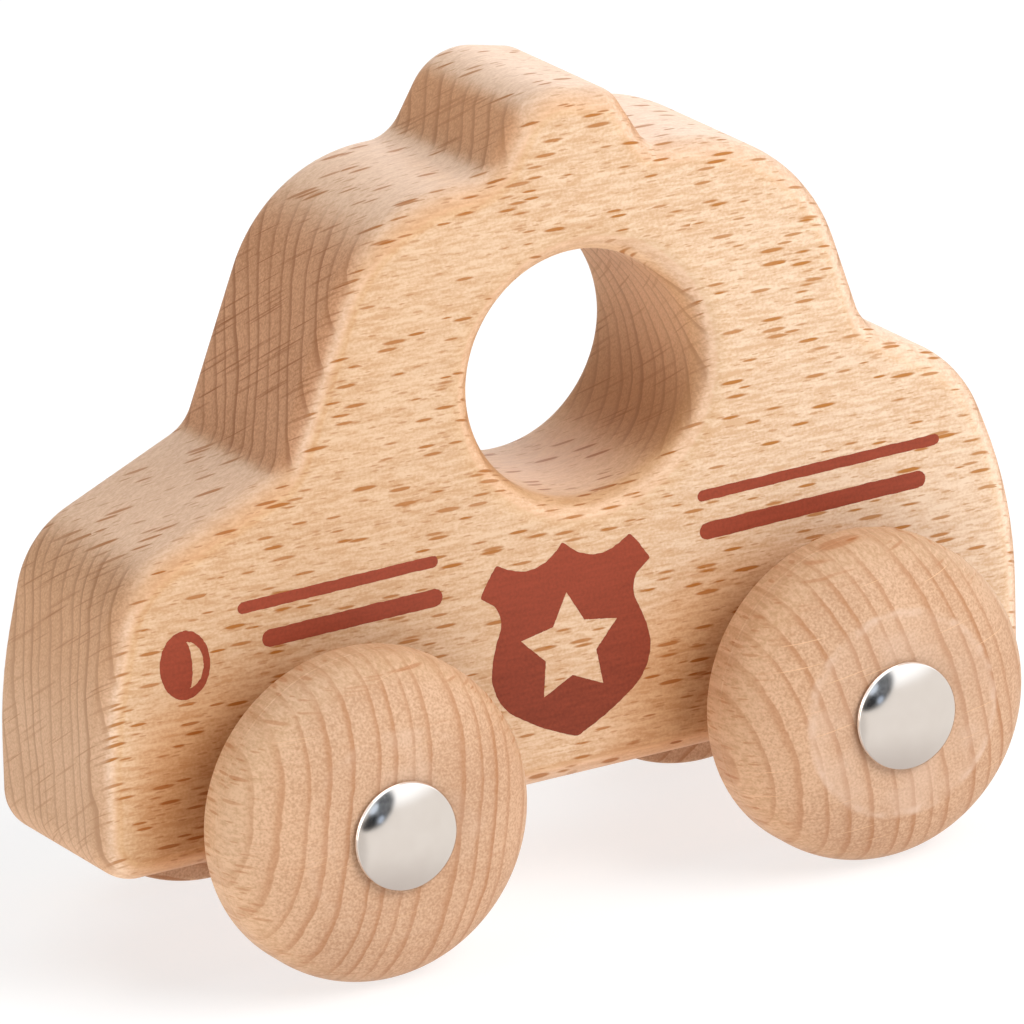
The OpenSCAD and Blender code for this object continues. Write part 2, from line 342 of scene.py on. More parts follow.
def edge_tints_and_painted_shade(wood, x, past_wall, side, top):
    """Painted shade: olive upper edges and a warm line where the side starts; and pale round-overs towards
    the front.
    """
    outer = past_wall.step(3.5, 6.5) * (0.35 + 0.65 * x.step(20, -5))
    upper = side.step(0.4, 0.85) * side.step(1.0, 0.96) * top.step(0.2, 0.5)
    line = side.step(0.8, 0.96) * side.step(1.0, 0.97)
    pale_round_over = side.step(0.3, 0.6) * side.step(0.98, 0.88) * top.step(0.45, 0.2) * x.step(-6, -12)
    # Painted shade: olive on the upper round-overs, strongest towards the front.
    wood = tinted(wood, 0.65 * outer * upper, rgb(0.85, 0.73, 0.57))
    # Painted shade: a warm line where the side starts to round over.
    wood = tinted(wood, 0.5 * outer * line, rgb(0.97, 0.84, 0.66))
    return tinted(wood, outer * pale_round_over, rgb(1.04, 1.08, 1.14))


def end_tints_and_painted_light(wood, x, z, end):
    """Faint rings on the nose and the roof light, painted light that pales the nose to its foot, and painted
    shade that browns the windscreen.
    """
    nose = x.step(-48, -54)
    wood = (0.3 * nose * end).mix(wood, plain_end)
    # Painted light from the floor: the nose grows paler and whiter towards its foot.
    wood = tinted(wood, nose, z.step(10, 42).mix(rgb(1.18, 1.43, 1.72), rgb(1.05, 1.06, 1.05)))
    # Painted shade: the windscreen is browner.
    wood = tinted(wood, end * x.step(-9, -14) * z.step(48, 54), rgb(0.95, 0.86, 0.8))
    roof_light = end * z.step(80, 84)
    wood = (0.3 * roof_light).mix(wood, plain_end)
    return tinted(wood, roof_light, rgb(1.02, 0.93, 0.84))


def hole_tints_and_painted_light(wood, past_wall, top, end):
    """Painted shade in the finger hole: a slightly darker rim round a greyish wall, painted lighter at its
    sides and browner at its floor.
    """
    wood = (0.4 * end * past_wall.step(1.5, 0.5)).mix(wood, plain_wall)
    # Painted light and shade: the wall lighter at its sides, browner and darker at its floor.
    wall = top.step(-0.2, 0.6).mix(rgb(1.16, 1.2, 1.17), rgb(0.86, 0.8, 0.68))
    # Painted shade: a slightly darker rim and wall.
    wood = tinted(wood, past_wall.step(4.5, 1.5), rgb(0.97, 0.94, 0.88))
    return tinted(wood, past_wall.step(1.3, 0.3), wall)


def block_tints_and_painted_light(place, outward, wood, end):
    """All the tints of the block: painted shade on the edges, a painted sheen on the tail, the ends, painted
    shade in the hole, and an orange painted shadow in front of each wheel.
    """
    x, _, z = split(place)
    _, side, top = split(outward)
    past_wall = ((x - hole_centre[0]) ** 2 + (z - hole_centre[1]) ** 2) ** 0.5 - hole_r
    wood = edge_tints_and_painted_shade(wood, x, past_wall, abs(side), top)
    # Painted sheen: the side grows paler and whiter towards the tail.
    wood = tinted(wood, 1.0, x.step(-32, 52).mix(rgb(0.97, 0.96, 0.96), rgb(1.15, 1.27, 1.46)))
    wood = end_tints_and_painted_light(wood, x, z, end)
    wood = hole_tints_and_painted_light(wood, past_wall, top, end)
    # Painted shadow: more orange in front of and below each wheel.
    for axle in axle_x.values():
        wheel_shadow = (x - (axle - 8)) ** 2 + (z - 15) ** 2
        wood = tinted(wood, wheel_shadow.step(24 ** 2, 11 ** 2), rgb(0.84, 0.64, 0.45))
    return wood


block_tones = {
    "face_pale": rgb(0.735, 0.51, 0.327), "face_dark": rgb(0.59, 0.343, 0.179),
    "slope_pale": rgb(0.80, 0.545, 0.365), "slope_dark": rgb(0.67, 0.41, 0.245),
    "end_pale": rgb(0.69, 0.405, 0.236), "end_dark": rgb(0.51, 0.27, 0.135),
    "face_from": 0.96, "ring": rgb(0.33, 0.147, 0.06), "ring_face": 0.06, "ring_end": 0.9,
    "ray": rgb(0.385, 0.13, 0.016), "ray_end": rgb(0.31, 0.12, 0.038),
    "dash_face": 1.0, "dash_loss": 0.5, "hair_face": 0.08, "hair_end": 0.65,
}
ray_rise = math.radians(30)
block_fibre = (1, 0, -0.02)
block_radial = (0, -math.cos(ray_rise), math.sin(ray_rise))
block_wood = beech("beech_block", (0, 0, 0), block_fibre, block_radial, pith=(49, -66), spacing=2.15,
                   wave=2.2, tones=block_tones, marks=block_tints_and_painted_light)
print("wood", block_wood.name)

# %% [markdown]
# The side outline of the block is a chain of rounded corners, as a router template would be drawn: each
# corner has a place, a height and a radius. Drawing the outline in or out changes only the radii, so
# the same corners serve every station of the rounded edge.

# %% Side outline of the block
half_width = 13.0
edge_round = 3.2
belly = 13.0
roof = 80.7
corners = np.array([
    [-56.41, belly, 5.0], [-55.51, belly + 17.0, 55.0], [-51.01, belly + 32.8, 11.5],
    [-31.41, belly + 41.0, 4.8], [-19.51, roof, 18.0], [-4.71, roof, 4.6],
    [1.29, roof + 9.1, 6.8], [11.29, roof + 6.9, 3.8], [15.09, roof, 2.4],
    [32.69, roof, 20.0], [39.39, belly + 43.0, 5.0], [51.19, belly + 35.7, 15.0],
    [56.59, belly + 19.8, 50.0], [55.59, belly, 3.8],
])


def chain(corners, inset=0.0, turn_step=3.0, run_step=1.6):
    """A closed outline: an arc about each corner's centre, then an even straight run to the next arc.

    Outer corners lose the inset from their radius and hollows gain it, so the chain is drawn in evenly.
    """
    arcs = []
    for before, corner, after in zip(np.roll(corners, 1, 0), corners, np.roll(corners, -1, 0)):
        to_before, to_after = unit(before[:2] - corner[:2]), unit(after[:2] - corner[:2])
        half = math.acos(np.dot(to_before, to_after)) / 2
        middle = corner[:2] + unit(to_before + to_after) * corner[2] / math.sin(half)
        hollow = to_before[0] * to_after[1] - to_before[1] * to_after[0] < 0
        first = corner[:2] + to_before * corner[2] / math.tan(half) - middle
        sweep = (math.pi - 2 * half) * (1 if hollow else -1)
        steps = max(2, math.ceil(math.degrees(abs(sweep)) / turn_step))
        angles = math.atan2(first[1], first[0]) + sweep * np.linspace(0, 1, steps + 1)
        circle = np.stack([np.cos(angles), np.sin(angles)], axis=1)
        drawn_r = corner[2] + (inset if hollow else -inset)
        arcs.append((middle + corner[2] * circle, middle + drawn_r * circle))
    runs = []
    for (plain, drawn), (next_plain, next_drawn) in zip(arcs, arcs[1:] + arcs[:1]):
        steps = max(1, math.ceil(np.linalg.norm(next_plain[0] - plain[-1]) / run_step))
        share = np.linspace(0, 1, steps + 1)[1:-1, None]
        runs.append(np.vstack([drawn, drawn[-1] + share * (next_drawn[0] - drawn[-1])]))
    return np.vstack(runs)


outline = chain(corners)
print("outline points", len(outline), "length", round(np.ptp(outline[:, 0]), 2), "mm")

# %% [markdown]
# The block is one closed surface with two parameters. One runs round the outline. The other runs round
# a section: out over the near side, round the edge, across the width, round the far edge, back over the
# far side and home through the finger hole. Such a ring needs no cutting, and its points lie close
# together only where it bends.

# %% The block's surface
hole_round = 3.2


def grid_piece(name, points, wrap=(True, True), closed=True):
    """An object whose quads join neighbouring points of a grid in metres; a wrapped side joins its ends.

    Points that coincide, as at a pole, are merged. A closed surface of negative volume is turned.
    """
    index = np.arange(points.shape[0] * points.shape[1]).reshape(points.shape[:2])
    if wrap[0]:
        index = np.vstack([index, index[:1]])
    if wrap[1]:
        index = np.hstack([index, index[:, :1]])
    around = [index[:-1, :-1], index[1:, :-1], index[1:, 1:], index[:-1, 1:]]
    quads = np.stack(around, axis=-1).reshape(-1, 4)
    flat = points.reshape(-1, 3)
    a, b, c, d = (flat[quads[:, k]] for k in range(4))
    if closed and np.sum(a * (np.cross(b, c) + np.cross(c, d))) < 0:
        quads = quads[:, ::-1]
    mesh = bpy.data.meshes.new(name)
    mesh.from_pydata(flat.tolist(), [], quads.tolist())
    merged = bmesh.new()
    merged.from_mesh(mesh)
    bmesh.ops.remove_doubles(merged, verts=merged.verts, dist=1e-4 * MM)
    merged.to_mesh(mesh)
    merged.free()
    mesh.shade_smooth()
    piece = bpy.data.objects.new(name, mesh)
    scene.collection.objects.link(piece)
    return piece


def quarter(steps):
    """Angles of a quarter turn."""
    return np.linspace(0, math.pi / 2, steps + 1)


side_edge = chain(corners, edge_round)
hole_ray = (side_edge - hole_centre) / np.linalg.norm(side_edge - hole_centre, axis=1)[:, None]


def side_station(share, out):
    """Points on a side face, at a share of the way from the hole's rim to the drawn-in outline."""
    rim = hole_centre + hole_ray * (hole_r + hole_round)
    return np.insert(rim + share * (side_edge - rim), 1, out, axis=1)


def edge_station(angle, side):
    """The outline drawn in along the round-over: angle 0 at the crown, a quarter turn at the side."""
    out = side * (half_width - edge_round + edge_round * math.sin(angle))
    return np.insert(chain(corners, edge_round * (1 - math.cos(angle))), 1, out, axis=1)


def hole_station(angle, side):
    """A circle of the finger hole on its rim's round-over, angle 0 at the straight wall."""
    out = side * (half_width - hole_round + hole_round * math.sin(angle))
    return np.insert(hole_centre + hole_ray * (hole_r + hole_round * (1 - math.cos(angle))), 1, out, axis=1)


def between(first, last, steps):
    """Stations at even shares between two others, without those two."""
    return [first + share * (last - first) for share in np.linspace(0, 1, steps + 1)[1:-1]]


side_shares = (1 - np.cos(np.linspace(0, math.pi, 13)[1:-1])) / 2
sections = [side_station(share, -half_width) for share in side_shares]
sections += [edge_station(angle, -1) for angle in quarter(10)[::-1]]
sections += between(edge_station(0, -1), edge_station(0, 1), 12)
sections += [edge_station(angle, 1) for angle in quarter(10)]
sections += [side_station(share, half_width) for share in side_shares[::-1]]
sections += [hole_station(angle, 1) for angle in quarter(8)[::-1]]
sections += between(hole_station(0, 1), hole_station(0, -1), 8)
sections += [hole_station(angle, -1) for angle in quarter(8)]
block = grid_piece("block", np.stack(sections, axis=1) * MM)
block.data.materials.append(block_wood)
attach(block, "car_body")
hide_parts("body")
print("block", len(block.data.polygons), "faces")

# %% [markdown]
# Wheels, caps and the drill for the axle bores are turned shapes: a closed profile carried round the
# axle. The profile is a radius and a distance out from the car's middle, so left and right pieces
# differ only by a sign.

# %% Turned shapes and the axle bores
wheel_r = 18.0
bore_r = 2.08


def turned_piece(name, profile, axle, side, steps=160):
    """Carries the profile's radius and distance out round the axle line."""
    angle = np.linspace(0, 2 * math.pi, steps, endpoint=False)[:, None]
    radius, out = profile[None, :, 0], profile[None, :, 1]
    x = axle_x[axle] + radius * np.cos(angle)
    z = wheel_r + radius * np.sin(angle)
    return grid_piece(name, np.stack([x, side * out + 0 * angle, z], axis=-1) * MM)


drill_reach = half_width + 2
for axle in axle_x:
    profile = np.array([[0, -drill_reach], [bore_r, -drill_reach], [bore_r, drill_reach], [0, drill_reach]])
    drill = turned_piece(axle + "_drill", profile, axle, 1, steps=48)
    cut = block.modifiers.new("bore", "BOOLEAN")
    cut.object = drill
    cut.solver = "EXACT"
    drilled = bpy.data.meshes.new_from_object(block.evaluated_get(bpy.context.evaluated_depsgraph_get()))
    block.modifiers.clear()
    block.data = drilled
    bpy.data.objects.remove(drill)
block.data.set_sharp_from_angle(angle=math.radians(40))
print("bores at", [round(x, 2) for x in axle_x.values()], "block", len(block.data.polygons), "faces")

# %% [markdown]
# Each wheel is turned from its own piece of beech with the fibre along the axle, so its face is end
# grain with nearly straight rings. The lathe leaves a faint circle on the face, and handling leaves
# fine scratches across it. Both could be cut into the surface, but they are finer than its grid, so
# they are colours laid over the wood. Painted light is laid over them too: each wheel is lighter on its
# upper half and towards the front.

# %% Wheels
hub_end, wheel_back, tread_end, wheel_face = 13.3, 18.0, 21.2, 29.4
face_r, hub_r = 8.2, 7.5
turned_circle_r = 11.3
wheel_corners = np.array([
    [bore_r, hub_end, 0.2], [hub_r, hub_end, 0.8], [hub_r, wheel_back, 0.6], [wheel_r, wheel_back, 0.7],
    [wheel_r, tread_end, 0.05], [face_r, wheel_face, 0.05], [bore_r, wheel_face, 0.2],
])


def wheel_profile():
    """The hub, back and tread as a chain of corners, with a quarter of an ellipse for the shoulder."""
    line = chain(wheel_corners, run_step=0.8, turn_step=10.0)
    slope = (line[:, 0] > face_r + 0.06) & (line[:, 1] > tread_end + 0.06)
    first = np.argmax(slope)
    rest = np.roll(line, -first, axis=0)[~np.roll(slope, -first)]
    angle = np.linspace(0, math.pi / 2, 41)[1:-1]
    shoulder = np.stack([face_r + (wheel_r - face_r) * np.cos(angle),
                         tread_end + (wheel_face - tread_end) * np.sin(angle)], axis=1)
    return np.vstack([rest, shoulder])


def lathe_marks_and_painted_light(circle, scratches):
    """A broken pale circle, worn pale patches, thin scratches, and painted light on the upper half and the
    front, laid as colours over a wheel's wood.
    """
    def lay(centred, _outward, wood, _end):
        x, _, z = split(centred)
        patchy = noise(stretched(centred, (0.16, 0.16, 0.16)), 2.0)
        broken = (0.35 + 3.0 * noise(stretched(centred, (0.55, 0.55, 0.55)), 3.0)).clamped()
        radius = (x * x + z * z) ** 0.5 + 0.5 * patchy
        line = radius.step(turned_circle_r - 1, turned_circle_r)
        line = line * radius.step(turned_circle_r + 0.5, turned_circle_r)
        inside = radius.step(turned_circle_r + 0.6, turned_circle_r - 0.4)
        worn = inside * (0.18 * circle + 0.27 * patchy.step(-0.05, 0.2))
        wood = (0.8 * circle * line * broken + worn).clamped().mix(wood, rgb(0.75, 0.55, 0.42))
        scored = moved(centred, turn=(0, math.radians(8), 0))
        scratch = rays(scored, (3.5, 30.0, 0.06), 0.16, (0, 0, 31))
        wood = (scratches * scratch).clamped().mix(wood, rgb(0.8, 0.52, 0.31))
        # Painted light: the upper half of the wheel is lighter.
        wood = tinted(wood, z.step(2, 16), rgb(1.08, 1.11, 1.13))
        # Painted light: the front of the wheel is lighter, the rest slightly darker.
        return tinted(wood, 1.0, x.step(-18, -6).mix(rgb(1.15, 1.13, 1.1), rgb(0.945, 0.93, 0.93)))
    return lay


wheel_tones = {
    "face_pale": rgb(0.685, 0.445, 0.28), "face_dark": rgb(0.54, 0.315, 0.172),
    "slope_pale": rgb(0.685, 0.445, 0.28), "slope_dark": rgb(0.54, 0.315, 0.172),
    "end_pale": rgb(0.69, 0.448, 0.29), "end_dark": rgb(0.51, 0.29, 0.166),
    "face_from": 1.5, "ring": rgb(0.41, 0.17, 0.063), "ring_face": 0.44, "ring_end": 0.38,
    "ray": rgb(0.42, 0.15, 0.045), "ray_end": rgb(0.42, 0.15, 0.045), "dash_face": 0.55, "dash_loss": 0.53,
    "hair_face": 0.05, "hair_end": 0.07,
}
sides = {"left": -1, "right": 1}
cut_step = 37
wheel_grain = {
    "front_left": (-3, 12, 0.1, 0.35), "rear_left": (6, -9, 0.75, 0.8),
    "front_right": (70, 4, 0.3, 0.4), "rear_right": (-40, 7, 0.3, 0.4),
}
for number, (corner, (lean, pith_side, circle, scratches)) in enumerate(wheel_grain.items()):
    axle, side = corner.split("_")
    wheel = turned_piece(corner + "_turned_wheel", wheel_profile(), axle, sides[side])
    radial = (math.cos(math.radians(lean)), 0, math.sin(math.radians(lean)))
    centre = (axle_x[axle], cut_step * number, wheel_r)
    wood = beech("beech_" + corner, centre, (0, 1, 0), radial, pith=(pith_side, -80), spacing=2.45,
                 wave=1.2, tones=wheel_tones, marks=lathe_marks_and_painted_light(circle, scratches))
    wheel.data.materials.append(wood)
    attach(wheel, corner + "_wheel")
    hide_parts(corner + "_wheel")
    print(wheel.name, len(wheel.data.polygons), "faces")

# %% [markdown]
# The caps are pressed from thin sheet and plated. A plated dome shows the room more than itself. The
# room could be painted on it, but then it would turn with the cap. So the material is plain polished
# metal with the faint cloudiness and hairlines of handling, and the room is built later on.

# %% Caps
def plating(name):
    """Polished nickel with a slow change in its polish and fine scratches."""
    material, shader, place = new_material(name)
    haze = noise(stretched(place, (0.5, 0.5, 0.5)), 3.0)
    hairline = noise(stretched(place, (0.7, 1.0, 14.0), turn=(0, 0.6, 0)), 2.0)
    tone = (0.5 + haze).clamped().mix(rgb(0.86, 0.80, 0.745), rgb(0.92, 0.87, 0.82))
    rough = 0.13 + 0.08 * haze + 0.02 * hairline
    connect(shader, Base_Color=tone, Metallic=1.0, Roughness=rough, Normal=bumped(hairline, 0.05, 0.01))
    return material


cap_r, cap_base, cap_top = 5.95, 29.65, 31.5
cap_rim, cap_sheet, cap_lip = 0.45, 0.3, 1.7
dome_rise = cap_top - cap_base - cap_rim
dome_r = (cap_r ** 2 + dome_rise ** 2) / (2 * dome_rise)
dome_centre = cap_top - dome_r


def dome(radius, rim, steps=36):
    """A sphere's crown from its top down to a rim radius."""
    angle = np.linspace(0, math.asin(rim / radius), steps + 1)
    return np.stack([radius * np.sin(angle), dome_centre + radius * np.cos(angle)], axis=1)


def cap_profile():
    """Down the dome, over the rim's small bend, in along the rolled lip and up the inside to the top."""
    bend = 0.2
    angle = np.linspace(math.radians(55), -math.pi / 2, 9)
    rim = np.stack([cap_r - bend + bend * np.cos(angle), cap_base + bend + bend * np.sin(angle)], axis=1)
    lip = np.array([[cap_r - cap_lip, cap_base], [cap_r - cap_lip, cap_base + cap_sheet]])
    inner = dome(dome_r - cap_sheet, cap_r - 0.4)[::-1]
    return np.vstack([dome(dome_r, cap_r - 0.06), rim, lip, inner])


nickel = plating("nickel_plating")
for corner in wheel_grain:
    axle, side = corner.split("_")
    cap = turned_piece(corner + "_domed_cap", cap_profile(), axle, sides[side], steps=128)
    cap.data.materials.append(nickel)
    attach(cap, axle + "_axle_set")
    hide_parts(corner + "_cap")
    print(cap.name, len(cap.data.polygons), "faces")

# %% [markdown]
# The rods and the spring washers inside the caps keep their solids and only get steel. Finer copies
# could replace them, but almost nothing of them shows. Drawn rod has marks along its length, and
# punched spring steel is darker with a slight blue.

# %% Steel
def steel(name, pale, dark, scale):
    """Bare steel with drawn marks: noise stretched along the marks."""
    material, shader, place = new_material(name)
    marks = noise(stretched(place, scale), 3.0)
    tone = (0.5 + marks).clamped().mix(dark, pale)
    rough = 0.32 + 0.2 * marks
    connect(shader, Base_Color=tone, Metallic=1.0, Roughness=rough, Normal=bumped(marks, 0.1, 0.02))
    return material


rod_steel = steel("drawn_rod_steel", rgb(0.62, 0.62, 0.63), rgb(0.5, 0.5, 0.51), (6.0, 0.15, 6.0))
spring_steel = steel("punched_spring_steel", rgb(0.46, 0.46, 0.48), rgb(0.36, 0.36, 0.39), (2.0, 2.0, 2.0))
steel_nodes = [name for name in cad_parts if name.endswith(("_axle", "_retainer"))]
for name in steel_nodes:
    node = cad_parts[name]
    node.data.materials.clear()
    node.data.materials.append(rod_steel if name.endswith("_axle") else spring_steel)
print("steel on", steel_nodes)

# %% [markdown]
# One brown ink is printed on the flat side. A print could be painted in the wood's material, but then
# it would end at no edge of its own. Here each mark is a film of ink about a hundredth of a millimetre
# thick, with the slightly rough edge that ink leaves on wood.

# %% Ink film
def brown_ink(name):
    """Opaque ink with a fine mottle, a trace of the fibre below it, and painted shade that darkens it
    towards the bottom.
    """
    material, shader, place = new_material(name)
    mottle = noise(stretched(place, (3.0, 3.0, 3.0)), 2.0)
    fibre = noise(stretched(place, (0.3, 2.4, 2.4)), 3.0)
    # Painted shade: the ink is paler higher up and darker towards the bottom.
    height = split(place)[2].step(16, 42)
    paler = (0.2 + 0.6 * height + mottle + 0.7 * fibre).clamped()
    tone = paler.mix(rgb(0.18, 0.033, 0.015), rgb(0.33, 0.062, 0.031))
    connect(shader, Base_Color=tone, Roughness=0.6 + 0.2 * mottle, Normal=bumped(fibre, 0.15, 0.02))
    connect(shader, Specular_IOR_Level=0.25)
    return material


ink = brown_ink("brown_ink")
film = 0.008
film_lift = 0.006
print_lean = math.tan(math.radians(0.65))
rough_edge = 0.02
random = np.random.default_rng(7)


def even(line, count):
    """Spreads points evenly along a closed line."""
    closed = np.vstack([line, line[:1]])
    run = np.insert(np.cumsum(np.linalg.norm(np.diff(closed, axis=0), axis=1)), 0, 0)
    where = np.linspace(0, run[-1], count, endpoint=False)
    return np.stack([np.interp(where, run, closed[:, k]) for k in range(2)], axis=1)


def softened(line, width):
    """Rounds a closed line's corners as ink does, by a bell-shaped average over neighbours."""
    offsets = np.arange(-4 * width, 4 * width + 1)
    bell = np.exp(-0.5 * (offsets / width) ** 2)
    return sum(weight * np.roll(line, shift, axis=0) for shift, weight in zip(offsets, bell / bell.sum()))


def roughness(shape, width=2, gain=2.6):
    """Random offsets for an edge of ink, softened over neighbours; the gain makes up for the softening."""
    return rough_edge * (softened(random.normal(0, 1, shape), width) * gain)


def inked(line, width=2):
    """A softened line whose edge wanders by a few hundredths of a millimetre."""
    wander = roughness((len(line), 2))
    return softened(line, width) + wander


def lay_film(name, grid, side, wrap):
    """Lays a grid of side-face points, in millimetres, on one side of the block and thickens it."""
    out = np.full(grid.shape[:2], side * (half_width + film + film_lift))
    laid = np.stack([grid[..., 0], out, grid[..., 1] + print_lean * grid[..., 0]], axis=-1)
    piece = grid_piece(name, laid * MM, wrap=wrap, closed=False)
    piece.data.shade_flat()
    if (piece.data.polygons[len(piece.data.polygons) // 2].normal.y < 0) != (side < 0):
        piece.data.flip_normals()
    thickness = piece.modifiers.new("film", "SOLIDIFY")
    thickness.thickness = film * MM
    thickness.offset = -1
    piece.data.materials.append(ink)
    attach(piece, "car_body")
    return piece


print("ink", ink.name, "film", film, "mm")

# %% [markdown]
# The four stripes of each side lean up towards the tail by less than a degree, as the whole print does.
# A stripe could be a plain bar. Here it is a strip with round ends, laid as a grid along its length and
# across its width, so that its long edges can be as rough as ink on wood.

# %% Stripes
def stripe(name, start, end, height, width, side):
    """A bar between two end centres: its half width follows a quarter of a circle at each end."""
    angle = quarter(20)
    tip = (1 - np.cos(angle)) * width / 2
    middle = np.linspace(start, end, 90)[1:-1]
    x = np.concatenate([start - width / 2 + tip, middle, end + width / 2 - tip[::-1]])
    half = np.concatenate([np.sin(angle), np.ones(len(middle)), np.sin(angle)[::-1]]) * width / 2
    wander = roughness((len(x), 2), 1, 2.0) * (half > 0)[:, None]
    across = np.linspace(-1, 1, 5)
    z = height + across * half[:, None]
    z = z + np.where(across > 0, wander[:, :1], wander[:, 1:]) * np.abs(across)
    x = np.repeat(x[:, None], len(across), axis=1)
    return lay_film(name, np.stack([x, z], axis=-1), side, (False, False))


upper_row, lower_row = 41.2, 37.2
stripes = {
    "front_upper": (-37.5, -15.0, upper_row, 1.3), "front_lower": (-34.6, -15.1, lower_row, 1.95),
    "rear_upper": (17.6, 46.0, upper_row, 1.22), "rear_lower": (17.9, 43.7, lower_row, 1.88),
}
for side_name, side in sides.items():
    for name, (start, end, height, width) in stripes.items():
        stripe(f"{side_name}_{name}_stripe", start, end, height, width, side)
print("stripes", 2 * len(stripes))

# %% [markdown]
# The headlamp is an oval of ink round a crescent of bare wood, which stands for the glint on its glass.
# Oval and crescent are cut at the same angles, so straight lines between them make an even ring.

# %% Headlamps
lamp_middle = np.array([-44.76, 36.5])
lamp_half = np.array([2.96, 3.79])


def headlamp(name, side):
    """A ring of ink: an oval outside, and inside it a crescent between two half ovals of one height."""
    turn = np.linspace(0, 2 * math.pi, 360, endpoint=False)
    oval = np.stack([lamp_half[0] * np.cos(turn), lamp_half[1] * np.sin(turn)], axis=1)
    tips, outer, inner, half_height, drop = 0.27, 2.16, 0.84, 2.56, 0.07
    bulge = np.where(np.cos(turn) > 0, (outer - tips) * np.cos(turn), -(inner - tips) * np.cos(turn))
    crescent = np.stack([tips + bulge, half_height * np.sin(turn) - drop], axis=1)
    share = np.linspace(0, 1, 7)[None, :, None]
    grid = inked(crescent)[:, None] * (1 - share) + inked(oval)[:, None] * share
    return lay_film(name, grid + lamp_middle, side, (True, False))


for side_name, side in sides.items():
    print(headlamp(side_name + "_headlamp", side).name)

# %% [markdown]
# The badge on the near side is a generic shield round a five-pointed star of bare wood. Half of the
# shield is drawn with six bows and mirrored. Each point of the shield looks at the star's middle, and
# the star's edge is found on that line, so the ring of ink between them never folds over itself.

# %% Badge
badge_middle = np.array([0.54, 28.16])
badge_points = 900


def bow(start, end, rise, count=40):
    """An arc from start to end that stands out to the left of its chord by rise; 0 is straight."""
    start, end = np.array(start), np.array(end)
    share = np.linspace(0, 1, count, endpoint=False)[:, None]
    chord = end - start
    side = np.array([-chord[1], chord[0]]) / np.linalg.norm(chord)
    return start + share * chord + side * rise * 4 * share * (1 - share)


def star_edge(angle, tip, notch):
    """How far a star's straight edges reach at an angle from its top: tip to notch is a tenth turn."""
    tenth = math.pi / 5
    past_tip = np.abs((angle + tenth) % (2 * tenth) - tenth)
    return tip * notch * math.sin(tenth) / (tip * np.sin(past_tip) + notch * np.sin(tenth - past_tip))


def badge(name, side):
    """A ring of ink between the shield's even points and the star's edge in the same directions."""
    half = np.vstack([
        bow((0, 11.75), (8.0, 10.95), -1.85), bow((8.0, 10.95), (10.3, 7.6), 0.1),
        bow((10.3, 7.6), (8.1, 3.6), -0.95), bow((8.1, 3.6), (9.6, -1.4), 0.25),
        bow((9.6, -1.4), (7.6, -5.9), 0.5), bow((7.6, -5.9), (0, -10.1), 0.3),
    ])
    whole = np.vstack([half, [[0, -10.1]], (half * [-1, 1])[:0:-1]])
    shield = inked(even(whole, badge_points), 3)
    angle = np.arctan2(shield[:, 0], shield[:, 1])
    reach = star_edge(angle, tip=6.1, notch=3.22) + roughness(badge_points)
    star = np.stack([reach * np.sin(angle), reach * np.cos(angle)], axis=1)
    share = np.linspace(0, 1, 7)[None, :, None]
    grid = star[:, None] * (1 - share) + shield[:, None] * share
    return lay_film(name, grid + badge_middle, side, (True, False))


print(badge("left_badge", sides["left"]).name)

# %% [markdown]
# The photograph's ground is pure white. A floor that is only bright would need so much light that the
# wood would bleach. So the floor is a pale paint that adds a glow of its own for the camera, and the
# car's soft shadow still falls on it. To the rest of the light it is a dim pale floor, brighter ahead
# of the nose. Mirrored rays pass it by, because the domes are to show the room alone.

# %% Floor
def light_path(tree):
    """1 for rays from the camera or let through, and 1 for mirrored rays, as two wires."""
    path = Wire.node(tree, "ShaderNodeLightPath", output="Is Camera Ray")
    return (path + path.part("Is Transmission Ray")).clamped(), path.part("Is Glossy Ray")


floor_half = 3.0
floor_x, floor_y = np.meshgrid([-floor_half, floor_half], [-floor_half, floor_half], indexing="ij")
floor_points = np.stack([floor_x, floor_y, 0 * floor_x], axis=-1)
floor = grid_piece("floor", floor_points, wrap=(False, False), closed=False)
floor_paint, paint, spot = new_material("white_floor")
seen, _ = light_path(spot.tree)
pale = seen.mix(rgb(0.8, 0.79, 0.77), rgb(0.36, 0.36, 0.36))
connect(paint, Base_Color=pale, Roughness=0.9, Specular_IOR_Level=0.0)
glow = split(spot)[0].step(-40, -120).mix(rgb(0.48, 0.475, 0.465), rgb(1.15, 1.13, 1.1))
connect(paint, Emission_Color=seen.mix(glow, rgb(0.72, 0.72, 0.72)), Emission_Strength=1.0)
floor.data.materials.append(floor_paint)
floor.visible_glossy = False
print("floor", 2 * floor_half, "m")

# %% [markdown]
# Plated domes mirror the whole room, and what they mirror is most of their look. A picture of a room
# could stand round the car. Here the room is painted by direction: pale below, white above, and one
# dark patch with two glints, which the domes show at their upper left. The camera sees plain white, and
# the wood gets only a little even light from it.

# %% Surroundings
def direction(turn, rise):
    """A unit vector by its turn, from straight off the car's left side towards the tail, and its rise."""
    turn, rise = math.radians(turn), math.radians(rise)
    return np.array([math.sin(turn) * math.cos(rise), -math.cos(turn) * math.cos(rise), math.sin(rise)])


def along(towards, way):
    """How much of a direction lies along a unit vector: their dot product."""
    return Wire.node(towards.tree, "ShaderNodeVectorMath", {"operation": "DOT_PRODUCT"},
                     {0: towards, 1: way.tolist()}, output="Value")


def patch(towards, centre, axis, half_length, half_breadth):
    """1 inside an oval patch of the sky, in degrees, whose long axis lies along a second direction."""
    middle = direction(*centre)
    long_way = unit(direction(*axis) - np.dot(direction(*axis), middle) * middle)
    length = along(towards, long_way) / math.sin(math.radians(half_length))
    breadth = along(towards, np.cross(middle, long_way)) / math.sin(math.radians(half_breadth))
    return (length * length + breadth * breadth).step(1.3, 0.6) * along(towards, middle).step(0.0, 0.3)


